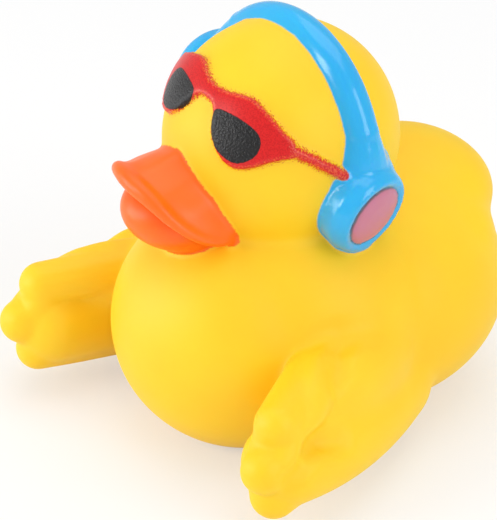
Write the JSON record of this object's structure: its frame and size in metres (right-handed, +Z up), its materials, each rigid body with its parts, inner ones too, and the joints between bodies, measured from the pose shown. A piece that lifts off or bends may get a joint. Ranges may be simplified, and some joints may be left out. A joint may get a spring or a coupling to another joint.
{
  "type": "toy duck",
  "caption": "Hollow soft vinyl bath duck with moulded-on sunglasses and headphones and open, lobed wings; it stands on a flat foot.",
  "frame": {"origin": "middle of the outline seen from above, on the flat foot", "axes": "+Z up, -Y the way the duck faces, +X the duck's left side"},
  "size_m": [0.0804, 0.0866, 0.0791],
  "materials": {
    "vinyl": "smooth soft vinyl, satin gloss"
  },
  "bodies": {
    "root": {"duck": "vinyl"}
  },
  "joints": []
}
